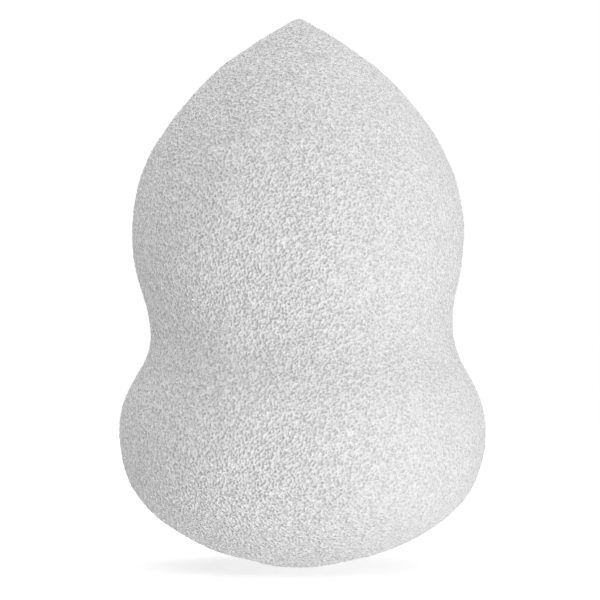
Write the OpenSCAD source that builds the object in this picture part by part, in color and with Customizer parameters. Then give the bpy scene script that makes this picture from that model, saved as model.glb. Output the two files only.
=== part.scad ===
// Makeup sponge: one block of soft open-cell foam in the shape of a gourd.
// A round base narrows to a waist and swells again into an upper bulb that runs out to a point.
// Its whole surface is one profile turned about the upright axis. The profile is a chain of round
// arcs, each tangent to the next, from the point at the top to the domed underside.
// Heights are measured from the lowest point of the free, unpressed sponge.
// Millimetres, +Z up. The origin is the middle of the flat on which the sponge stands.

/* [Point] */
// Height of the free sponge, from the underside to the point
height = 60; // [52:0.5:80]
// Radius that rounds off the point
tip_r = 0.6; // [0.2:0.1:4]
// Slope of the surface at the point, in degrees from upright
tip_slope = 65; // [56:1:74]
// Slope at which the round bulb turns into the straighter flank below the point
flank_slope = 35; // [20:1:45]

/* [Upper bulb] */
// Diameter of the upper bulb at its widest
bulb_d = 36.2; // [34:0.1:42]
// Height of the upper bulb's widest ring
bulb_h = 36.3; // [33:0.1:42]

/* [Waist] */
// Diameter at the narrowest part of the waist
waist_d = 33; // [28:0.1:35.5]
// Height of the narrowest part of the waist
waist_h = 26.5; // [24:0.1:30]
// Radius of the hollow curve at the waist
waist_r = 9.7; // [4:0.1:18]

/* [Base] */
// Diameter of the base at its widest
base_d = 40; // [35:0.1:46]
// Height of the base's widest ring
base_h = 14.6; // [11:0.1:18]
// Radius of the domed underside
under_r = 26; // [22:0.5:45]
// Depth to which the foam flattens where it stands
foot_depth = 0.5; // [0.1:0.1:3]

/* [Hidden] */

// How far a chord may lie inside the round arc that it stands for
chord_gap = 0.01;
foam_white = [0.86, 0.86, 0.85];

// Point: the tip arc is centred on the axis.
tip_c = [0, height - tip_r];

// Upper half of the bulb: two arcs run from the widest ring to the tip arc. Their radii solve the
// two equations that carry the profile from one end to the other, across and up.
tip_join = tip_c + tip_r * [cos(tip_slope), sin(tip_slope)];
top_span = [bulb_d / 2, bulb_h] - tip_join;
bulb_run = [1 - cos(flank_slope), -sin(flank_slope)];
flank_run = [cos(flank_slope) - cos(tip_slope), sin(flank_slope) - sin(tip_slope)];
top_r = cross(top_span, flank_run) / cross(bulb_run, flank_run);
flank_r = cross(bulb_run, top_span) / cross(bulb_run, flank_run);
top_c = [bulb_d / 2 - top_r, bulb_h];
flank_c = tip_c - (flank_r - tip_r) * [cos(tip_slope), sin(tip_slope)];

// Waist: an S of two arcs joins it to the bulb above and another joins it to the base below.
// The two radii of such an S add up to a length that its rise and its step alone fix.
function s_radii(step, rise) = (rise * rise + step * step) / (2 * step);
above_radii = s_radii((bulb_d - waist_d) / 2, bulb_h - waist_h);
below_radii = s_radii((base_d - waist_d) / 2, waist_h - base_h);
above_turn = asin((bulb_h - waist_h) / above_radii);
below_turn = asin((waist_h - base_h) / below_radii);
lower_r = above_radii - waist_r;
shoulder_r = below_radii - waist_r;
lower_c = [bulb_d / 2 - lower_r, bulb_h];
waist_c = [waist_d / 2 + waist_r, waist_h];
shoulder_c = [base_d / 2 - shoulder_r, base_h];

// Base: the heel arc runs from the widest ring into the dome of the underside, which is cut off
// at the flat foot.
under_c = [0, under_r];
heel_r = (2 * under_r * base_h - base_h * base_h - base_d * base_d / 4) / (2 * under_r - base_d);
heel_c = [base_d / 2 - heel_r, base_h];
heel_turn = atan2(under_r - base_h, heel_c[0]);
foot_turn = asin((under_r - foot_depth) / under_r);

// Points of a round arc about c from angle a to angle b, without its last point, which is where
// the next arc starts.
function arc(c, r, a, b) =
    let (chords = ceil(abs(b - a) / (2 * acos(1 - chord_gap / r))))
    [for (i = [0 : chords - 1]) let (t = a + (b - a) * i / chords) c + r * [cos(t), sin(t)]];

profile = concat(
    arc(tip_c, tip_r, 90, tip_slope),
    arc(flank_c, flank_r, tip_slope, flank_slope),
    arc(top_c, top_r, flank_slope, 0),
    arc(lower_c, lower_r, 0, -above_turn),
    arc(waist_c, waist_r, 180 - above_turn, 180 + below_turn),
    arc(shoulder_c, shoulder_r, below_turn, 0),
    arc(heel_c, heel_r, 0, -heel_turn),
    arc(under_c, under_r, -heel_turn, -foot_turn),
    [[under_r * cos(foot_turn), foot_depth], [0, foot_depth]]
);

// The sponge itself: one solid block of foam, the same material all through
module foam_body()
    color(foam_white)
        translate([0, 0, -foot_depth])
            rotate_extrude()
                polygon(profile);

foam_body();
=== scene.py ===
from math import cos, radians, sin

import bpy
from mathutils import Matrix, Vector


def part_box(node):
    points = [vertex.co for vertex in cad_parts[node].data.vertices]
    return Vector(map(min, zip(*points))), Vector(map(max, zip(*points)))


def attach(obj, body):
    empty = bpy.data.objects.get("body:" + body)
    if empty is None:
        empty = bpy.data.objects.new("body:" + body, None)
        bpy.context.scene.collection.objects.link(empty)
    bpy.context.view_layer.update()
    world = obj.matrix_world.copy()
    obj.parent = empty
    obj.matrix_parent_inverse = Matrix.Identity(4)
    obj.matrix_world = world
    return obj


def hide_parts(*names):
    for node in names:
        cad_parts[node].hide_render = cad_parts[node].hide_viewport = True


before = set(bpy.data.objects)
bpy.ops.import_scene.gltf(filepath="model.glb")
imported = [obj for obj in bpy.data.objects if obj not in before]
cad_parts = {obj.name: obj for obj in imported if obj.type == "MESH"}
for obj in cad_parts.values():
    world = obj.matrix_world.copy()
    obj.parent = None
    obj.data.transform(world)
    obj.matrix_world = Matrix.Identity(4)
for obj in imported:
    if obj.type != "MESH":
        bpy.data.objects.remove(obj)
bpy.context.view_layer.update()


# Camera
# A long lens looks level at the standing sponge from the front. The picture is as wide as the
# photograph at the sponge's axis, and the axis and the foot lie where they do there.
LENS = 200
SENSOR = 36
NEAREST_SEEN, FARTHEST_SEEN = 0.01, 10
LEVEL_FROM_THE_FRONT = (radians(90), 0, 0)
FREE_HEIGHT = 0.0600

# The photograph's width, its column of the sponge's axis, and its rows of the point, of the lowest
# edge of the underside and of the flat on which the sponge stands.
PHOTO_WIDTH = 600
PHOTO_AXIS_PX = 299.5
PHOTO_POINT_PX = 18.9
PHOTO_UNDERSIDE_PX = 568.3
PHOTO_FOOT_PX = 566.0

metres_a_pixel = FREE_HEIGHT / (PHOTO_UNDERSIDE_PX - PHOTO_POINT_PX)
view_width = PHOTO_WIDTH * metres_a_pixel
camera_away = view_width * LENS / SENSOR
camera_x = (PHOTO_WIDTH / 2 - PHOTO_AXIS_PX) * metres_a_pixel
camera_z = (PHOTO_FOOT_PX - PHOTO_WIDTH / 2) * metres_a_pixel

bpy.ops.object.select_all(action="DESELECT")
bpy.ops.object.camera_add(location=(camera_x, -camera_away, camera_z), rotation=LEVEL_FROM_THE_FRONT)
camera = bpy.context.object
camera.name = "camera"
camera.data.lens = LENS
camera.data.sensor_width = SENSOR
camera.data.clip_start = NEAREST_SEEN
camera.data.clip_end = FARTHEST_SEEN
bpy.context.scene.camera = camera


# Sponge
# One block of soft latex-free polyurethane foam, moulded and ground to a gourd shape. It has no
# skin: the whole surface is cut foam, and its open cells give it an even, fine grain.
foam_low, foam_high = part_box("foam_body")
foam_width = foam_high.x - foam_low.x
foam_height = foam_high.z - foam_low.z
foam_middle = Vector((0, 0, foam_height / 2))
foot_depth = FREE_HEIGHT - foam_height

bpy.ops.object.select_all(action="DESELECT")
bpy.ops.mesh.primitive_cube_add(size=foam_width, location=foam_middle)
sponge = bpy.context.object
sponge.name = "sponge"
bpy.ops.object.transform_apply(location=True, rotation=False, scale=False)

# The cube's six sides become the panels of a map for baking the foam's finish. They lie in two rows
# of three, and each fills its place but for a narrow margin.
BAKE_MAP = "OFBake"
PANELS_IN_ROW, PANEL_ROWS = 3, 2
PANEL_FILL = 0.98
cube_low = foam_middle - Vector((foam_width, foam_width, foam_width)) / 2
panel_map = sponge.data.uv_layers.active
panel_map.name = BAKE_MAP
for panel in sponge.data.polygons:
    row, column = divmod(panel.index, PANELS_IN_ROW)
    depth_axis = max(range(3), key=lambda axis: abs(panel.normal[axis]))
    width_axis, height_axis = (axis for axis in range(3) if axis != depth_axis)
    for corner in panel.loop_indices:
        vertex = sponge.data.vertices[sponge.data.loops[corner].vertex_index]
        spot = (vertex.co - cube_low) / foam_width
        panel_map.uv[corner].vector = (
            (column + 0.5 + PANEL_FILL * (spot[width_axis] - 0.5)) / PANELS_IN_ROW,
            (row + 0.5 + PANEL_FILL * (spot[height_axis] - 0.5)) / PANEL_ROWS,
        )

# The cube's sides are cut in two bands, so that its faces come out about as tall as wide once it is
# rounded, stretched and wrapped on the foam's solid.
FACES_ACROSS = 24
STRETCH = 1.5
bpy.ops.object.mode_set(mode="EDIT")
bpy.ops.mesh.select_mode(type="EDGE")
bpy.ops.mesh.select_all(action="DESELECT")
bpy.ops.object.mode_set(mode="OBJECT")
for edge in sponge.data.edges:
    start, end = (sponge.data.vertices[i].co for i in edge.vertices)
    edge.select = abs(start.z - end.z) > foam_width / 2
bpy.ops.object.mode_set(mode="EDIT")
bpy.ops.mesh.subdivide(number_cuts=1)
bpy.ops.mesh.select_all(action="SELECT")
bpy.ops.mesh.subdivide(number_cuts=FACES_ACROSS - 1)
bpy.ops.transform.tosphere(value=1)
bpy.ops.transform.resize(value=(1, 1, STRETCH), center_override=foam_middle)
bpy.ops.object.mode_set(mode="OBJECT")
wrap = sponge.modifiers.new("wrap", "SHRINKWRAP")
wrap.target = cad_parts["foam_body"]
wrap.wrap_method = "PROJECT"
wrap.use_negative_direction = True
wrap.use_positive_direction = True
bpy.ops.object.modifier_apply(modifier=wrap.name)


# Picks the points of the surface that pass a test, and leaves the piece in edit mode.
def pick_points(piece, test):
    bpy.ops.object.mode_set(mode="EDIT")
    bpy.ops.mesh.select_mode(type="VERT")
    bpy.ops.mesh.select_all(action="DESELECT")
    bpy.ops.object.mode_set(mode="OBJECT")
    for vertex in piece.data.vertices:
        vertex.select = test(vertex.co)
    bpy.ops.object.mode_set(mode="EDIT")


# Pulls the foam at the picked points. The pull fades out over its reach.
def pull_foam(piece, test, pull, reach, falloff="SMOOTH"):
    pick_points(piece, test)
    bpy.ops.transform.translate(
        value=pull,
        use_proportional_edit=True,
        proportional_edit_falloff=falloff,
        proportional_size=reach,
    )
    bpy.ops.object.mode_set(mode="OBJECT")


# Lets the foam out from the sponge's axis by a share, or draws it in where the share is negative.
def let_foam_out(piece, test, share, reach):
    pick_points(piece, test)
    bpy.ops.transform.resize(
        value=(1 + share, 1 + share, 1),
        center_override=(0, 0, 0),
        use_proportional_edit=True,
        proportional_edit_falloff="SMOOTH",
        proportional_size=reach,
    )
    bpy.ops.object.mode_set(mode="OBJECT")


# The solid cuts the dome of the underside flat. Here its middle is drawn out again below the foot,
# a bit more pointed than round, and a ring round the middle is raised to meet the dome's curve.
MIDDLE_RADIUS = 0.0001
DOME_DRAW = 0.00016
DOME_REACH = 0.0051
RING_INSIDE, RING_OUTSIDE = 0.0030, 0.0070
RING_RISE = 0.00020
RING_REACH = 0.0025
pull_foam(
    sponge,
    lambda co: co.xy.length < MIDDLE_RADIUS and co.z < foam_middle.z,
    (0, 0, -foot_depth - DOME_DRAW),
    DOME_REACH,
    "INVERSE_SQUARE",
)
pull_foam(
    sponge,
    lambda co: RING_INSIDE < co.xy.length < RING_OUTSIDE and co.z < foam_middle.z,
    (0, 0, RING_RISE),
    RING_REACH,
)

# The point is drawn up a little, against the rounding that follows.
POINT_DEPTH = 0.0003
POINT_RISE = 0.00017
POINT_REACH = 0.0015
pull_foam(sponge, lambda co: co.z > foam_height - POINT_DEPTH, (0, 0, POINT_RISE), POINT_REACH)

# Soft foam is never quite round. Rings of its surface are first drawn in or let out. Each row holds
# a ring's height, half the width of its band, the share of the change and how far it fades out.
RINGS_LET_OUT = (
    (0.0574, 0.0015, -0.100, 0.0035),  # flank just below the point
    (0.0225, 0.0010, -0.012, 0.0040),  # shoulder of the base
    (0.0060, 0.0020, 0.010, 0.0040),  # heel
    (0.0018, 0.0008, 0.012, 0.0030),  # edge of the underside
)
for height, half_band, share, reach in RINGS_LET_OUT:
    let_foam_out(sponge, lambda co: abs(co.z - height) < half_band, share, reach)

# Then rings, or the part of a ring between a left and a right end, are pulled aside by a few tenths
# of a millimetre. Each row ends with the pull and how far it fades out.
LEFT_END, RIGHT_END = -foam_width, foam_width
RINGS_PULLED = (
    (0.0146, 0.0040, LEFT_END, RIGHT_END, (0.00032, 0, 0), 0.0100),  # base swells to the right
    (0.0225, 0.0010, LEFT_END, RIGHT_END, (0.00022, 0, 0), 0.0060),  # so does its shoulder
    (0.0380, 0.0030, LEFT_END, RIGHT_END, (-0.00020, 0, 0), 0.0080),  # bulb leans to the left
    (0.0485, 0.0020, 0.0050, RIGHT_END, (-0.00028, 0, 0), 0.0060),  # right flank is flatter
    (0.0040, 0.0010, LEFT_END, -0.0100, (0.00045, 0, 0.00010), 0.0080),  # so is the heel, left
    (0.0558, 0.0007, LEFT_END, -0.0035, (-0.00024, 0, 0), 0.0020),  # left flank fills out
    (0.0586, 0.0006, 0.0008, RIGHT_END, (-0.00020, 0, 0), 0.0012),  # point is trimmed, right
    (0.0540, 0.0010, 0.0050, RIGHT_END, (-0.00019, 0, 0), 0.0016),  # right flank is trimmed
    (0.0563, 0.0005, 0.0035, RIGHT_END, (0.00012, 0, 0), 0.0014),  # and fills out above
)
for height, half_band, left, right, pull, reach in RINGS_PULLED:
    pull_foam(sponge, lambda co: abs(co.z - height) < half_band and left < co.x < right, pull, reach)

# It stands with its underside pressed in by a hair's breadth.
CONTACT_DEPTH = 0.00008
pick_points(sponge, lambda co: True)
bpy.ops.transform.translate(value=(0, 0, foot_depth - CONTACT_DEPTH))
bpy.ops.object.mode_set(mode="OBJECT")

ROUNDINGS = 3
rounding = sponge.modifiers.new("rounding", "SUBSURF")
rounding.levels = rounding.render_levels = ROUNDINGS
bpy.ops.object.modifier_apply(modifier=rounding.name)

# Relief of the ground foam: gentle waves, grain, and open cells.
WAVE_SIZE, WAVE_DEPTH = 0.006, 0.00025
GRAIN_SIZE, GRAIN_DEPTH = 0.00032, 0.00016
CELL_SIZE, CELL_DEPTH = 0.00040, 0.00010


def press_relief(piece, name, kind, size, depth, **settings):
    pattern = bpy.data.textures.new(name, kind)
    pattern.noise_scale = size
    for setting, value in settings.items():
        setattr(pattern, setting, value)
    relief = piece.modifiers.new(name, "DISPLACE")
    relief.texture = pattern
    relief.texture_coords = "LOCAL"
    relief.strength = depth
    bpy.ops.object.modifier_apply(modifier=relief.name)


press_relief(sponge, "ground_waves", "CLOUDS", WAVE_SIZE, WAVE_DEPTH, noise_depth=1)
press_relief(sponge, "foam_grain", "CLOUDS", GRAIN_SIZE, GRAIN_DEPTH, noise_depth=1)
press_relief(sponge, "foam_cells", "VORONOI", CELL_SIZE, CELL_DEPTH)

# Where it stands, the foam is pressed flat.
pick_points(sponge, lambda co: co.z < 0)
bpy.ops.transform.resize(value=(1, 1, 0), center_override=(0, 0, 0))
bpy.ops.object.mode_set(mode="OBJECT")
bpy.ops.object.shade_smooth()

# Grinding cuts through the foam's open cells: white cell walls stand over small pits, and finer grit
# lies over both. The pits' grey is painted shade. The foam is matt, with next to no shine.
PAINTED_PORE_SHADE = (0.60, 0.60, 0.60, 1)
WALL_COLOR = (1.0, 1.0, 1.0, 1)
FOAM_ROUGHNESS = 0.95
FOAM_SHINE = 0.15
foam = bpy.data.materials.new("ground_white_foam")
foam.use_nodes = True
foam_nodes = foam.node_tree.nodes
foam_links = foam.node_tree.links
foam_shader = foam_nodes["Principled BSDF"]
foam_shader.inputs["Roughness"].default_value = FOAM_ROUGHNESS
foam_shader.inputs["Specular IOR Level"].default_value = FOAM_SHINE
where = foam_nodes.new("ShaderNodeTexCoord")

# The height of the cut surface: the pores, with the grit added by its weight.
PORE_SIZE = 0.00032
GRIT_SIZE = 0.00027
GRIT_DETAIL = 0
GRIT_WEIGHT = 2.0
pores = foam_nodes.new("ShaderNodeTexVoronoi")
pores.inputs["Scale"].default_value = 1 / PORE_SIZE
foam_links.new(where.outputs["Object"], pores.inputs["Vector"])
grit = foam_nodes.new("ShaderNodeTexNoise")
grit.inputs["Scale"].default_value = 1 / GRIT_SIZE
grit.inputs["Detail"].default_value = GRIT_DETAIL
foam_links.new(where.outputs["Object"], grit.inputs["Vector"])
cut_surface = foam_nodes.new("ShaderNodeMath")
cut_surface.operation = "MULTIPLY_ADD"
cut_surface.inputs[1].default_value = GRIT_WEIGHT
foam_links.new(grit.outputs["Fac"], cut_surface.inputs[0])
foam_links.new(pores.outputs["Distance"], cut_surface.inputs[2])

# Painted shade in the pits and hollows: how far a place is a wall and not a pit, by that height and
# by how the mesh itself bends there. Pits and hollows get the darker colour that stands for the
# shade in them.
PIT, RIM = 1.0, 1.9
HOLLOW, RIDGE = 0.42, 0.58
HOLLOW_SHADE_SHARE = 0.3
pit_shade_by_height = foam_nodes.new("ShaderNodeMapRange")
pit_shade_by_height.inputs["From Min"].default_value = PIT
pit_shade_by_height.inputs["From Max"].default_value = RIM
foam_links.new(cut_surface.outputs["Value"], pit_shade_by_height.inputs["Value"])
bends = foam_nodes.new("ShaderNodeNewGeometry")
hollow_shade_by_bend = foam_nodes.new("ShaderNodeMapRange")
hollow_shade_by_bend.inputs["From Min"].default_value = HOLLOW
hollow_shade_by_bend.inputs["From Max"].default_value = RIDGE
foam_links.new(bends.outputs["Pointiness"], hollow_shade_by_bend.inputs["Value"])
pit_and_hollow_shade = foam_nodes.new("ShaderNodeMix")
pit_and_hollow_shade.inputs["Factor"].default_value = HOLLOW_SHADE_SHARE
foam_links.new(pit_shade_by_height.outputs["Result"], pit_and_hollow_shade.inputs["A"])
foam_links.new(hollow_shade_by_bend.outputs["Result"], pit_and_hollow_shade.inputs["B"])

# The painted pit shade and the bumps weaken towards the sponge's right side, where the light falls
# straight on the foam. Each pair is a place across it, from left to right, and the strength of the
# grain and its painted shade there. Where they are weak, the colour nears a middle one.
SHADE_AND_GRAIN_FADE = ((0.0, 0.9), (0.2, 1.0), (0.5, 1.0), (0.8, 0.7), (1.0, 0.6))
MIDDLE_COLOR_SHARE = 0.65
axes = foam_nodes.new("ShaderNodeSeparateXYZ")
foam_links.new(where.outputs["Object"], axes.inputs["Vector"])
across = foam_nodes.new("ShaderNodeMapRange")
across.inputs["From Min"].default_value = foam_low.x
across.inputs["From Max"].default_value = foam_high.x
foam_links.new(axes.outputs["X"], across.inputs["Value"])
fade = foam_nodes.new("ShaderNodeValToRGB")
while len(fade.color_ramp.elements) < len(SHADE_AND_GRAIN_FADE):
    fade.color_ramp.elements.new(1)
for stop, (place, strength) in zip(fade.color_ramp.elements, SHADE_AND_GRAIN_FADE):
    stop.position = place
    stop.color = (strength, strength, strength, 1)
foam_links.new(across.outputs["Result"], fade.inputs["Fac"])
faded_pit_shade = foam_nodes.new("ShaderNodeMix")
faded_pit_shade.inputs["A"].default_value = MIDDLE_COLOR_SHARE
foam_links.new(fade.outputs["Color"], faded_pit_shade.inputs["Factor"])
foam_links.new(pit_and_hollow_shade.outputs["Result"], faded_pit_shade.inputs["B"])
# The foam's colour runs from the painted shade of the pores to the white of the walls.
shade = foam_nodes.new("ShaderNodeMix")
shade.data_type = "RGBA"
shade.inputs["A"].default_value = PAINTED_PORE_SHADE
shade.inputs["B"].default_value = WALL_COLOR
foam_links.new(faded_pit_shade.outputs["Result"], shade.inputs["Factor"])
foam_links.new(shade.outputs["Result"], foam_shader.inputs["Base Color"])

# The same height roughens the surface. The renderer's softening of steep bumps is off, so that the
# grain keeps its contrast.
PORE_DEPTH = 0.00021
foam.cycles.use_bump_map_correction = False
roughened = foam_nodes.new("ShaderNodeBump")
roughened.inputs["Distance"].default_value = PORE_DEPTH
foam_links.new(fade.outputs["Color"], roughened.inputs["Strength"])
foam_links.new(cut_surface.outputs["Value"], roughened.inputs["Height"])
foam_links.new(roughened.outputs["Normal"], foam_shader.inputs["Normal"])
sponge.data.materials.append(foam)

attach(sponge, "root")
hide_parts("foam_body")


# Floor
# A plain white light table. Light from below passes it freely, and the camera sees it as plain
# white but for the sponge's own soft shadow.
FLOOR_SIZE = 0.8
FLOOR_COLOR = (0.85, 0.85, 0.85, 1)
FLOOR_LIFT = 0.38
bpy.ops.object.select_all(action="DESELECT")
bpy.ops.mesh.primitive_plane_add(size=FLOOR_SIZE, location=(0, 0, 0))
floor = bpy.context.object
floor.name = "floor"
floor.visible_diffuse = False
floor.visible_shadow = False
floor_paint = bpy.data.materials.new("floor_paint")
floor_paint.use_nodes = True
floor_nodes = floor_paint.node_tree.nodes
floor_links = floor_paint.node_tree.links
floor_shader = floor_nodes["Principled BSDF"]
floor_shader.inputs["Base Color"].default_value = FLOOR_COLOR
floor_shader.inputs["Roughness"].default_value = 1
floor_shader.inputs["Specular IOR Level"].default_value = 0
lift = floor_nodes.new("ShaderNodeEmission")
lift.inputs["Strength"].default_value = FLOOR_LIFT
lifted = floor_nodes.new("ShaderNodeAddShader")
choose = floor_nodes.new("ShaderNodeMixShader")


# Gives 1 for what the camera sees, straight, mirrored or through glass, and 0 for all other light.
def seen_or_mirrored(tree):
    path = tree.nodes.new("ShaderNodeLightPath")
    seen = tree.nodes.new("ShaderNodeMath")
    seen.operation = "MAXIMUM"
    seen_through = tree.nodes.new("ShaderNodeMath")
    seen_through.operation = "MAXIMUM"
    tree.links.new(path.outputs["Is Camera Ray"], seen.inputs[0])
    tree.links.new(path.outputs["Is Glossy Ray"], seen.inputs[1])
    tree.links.new(seen.outputs["Value"], seen_through.inputs[0])
    tree.links.new(path.outputs["Is Transmission Ray"], seen_through.inputs[1])
    return seen_through.outputs["Value"]


floor_links.new(floor_shader.outputs["BSDF"], lifted.inputs[0])
floor_links.new(lift.outputs["Emission"], lifted.inputs[1])
floor_links.new(seen_or_mirrored(floor_paint.node_tree), choose.inputs["Fac"])
floor_links.new(floor_shader.outputs["BSDF"], choose.inputs[1])
floor_links.new(lifted.outputs["Shader"], choose.inputs[2])
floor_links.new(choose.outputs["Shader"], floor_nodes["Material Output"].inputs["Surface"])
floor.data.materials.append(floor_paint)


# Light
# A white tent all round gives even light. A small panel low at the right and a large one low at the
# front shine up through the table and model the shape. A large one overhead lights the top, and one
# behind keeps the back from going grey.
TENT_COLOR = (1, 1, 1, 1)
TENT_LIGHT = 0.485
TENT_SEEN = 1.0
tent = bpy.data.worlds.new("white_tent")
bpy.context.scene.world = tent
tent.use_nodes = True
tent_nodes = tent.node_tree.nodes
tent_links = tent.node_tree.links
tent_strength = tent_nodes.new("ShaderNodeMix")
tent_strength.inputs["A"].default_value = TENT_LIGHT
tent_strength.inputs["B"].default_value = TENT_SEEN
tent_links.new(seen_or_mirrored(tent.node_tree), tent_strength.inputs["Factor"])
tent_nodes["Background"].inputs["Color"].default_value = TENT_COLOR
tent_links.new(tent_strength.outputs["Result"], tent_nodes["Background"].inputs["Strength"])

# Each row holds a square panel's name, how many degrees it is turned to the right of the front and
# raised above level, its size and its power. All of them face the sponge.
PANEL_AWAY = 0.6
LIGHT_PANELS = (
    ("side_panel", 50, -20, 0.3, 1.24),
    ("front_panel", 0, -45, 1.2, 2.36),
    ("roof_panel", 0, 90, 1.2, 3.68),
    ("back_panel", 180, 0, 0.6, 1.5),
)
for name, degrees_right, degrees_up, size, power in LIGHT_PANELS:
    turn, rise = radians(degrees_right), radians(degrees_up)
    hung_at = PANEL_AWAY * Vector((sin(turn) * cos(rise), -cos(turn) * cos(rise), sin(rise)))
    to_sponge = (foam_middle - hung_at).to_track_quat("-Z", "Y").to_euler()
    bpy.ops.object.light_add(type="AREA", location=hung_at, rotation=to_sponge)
    lamp = bpy.context.object
    lamp.name = name
    lamp.data.shape = "SQUARE"
    lamp.data.size = size
    lamp.data.energy = power
    lamp.visible_camera = False

bpy.context.scene.view_settings.view_transform = "Standard"
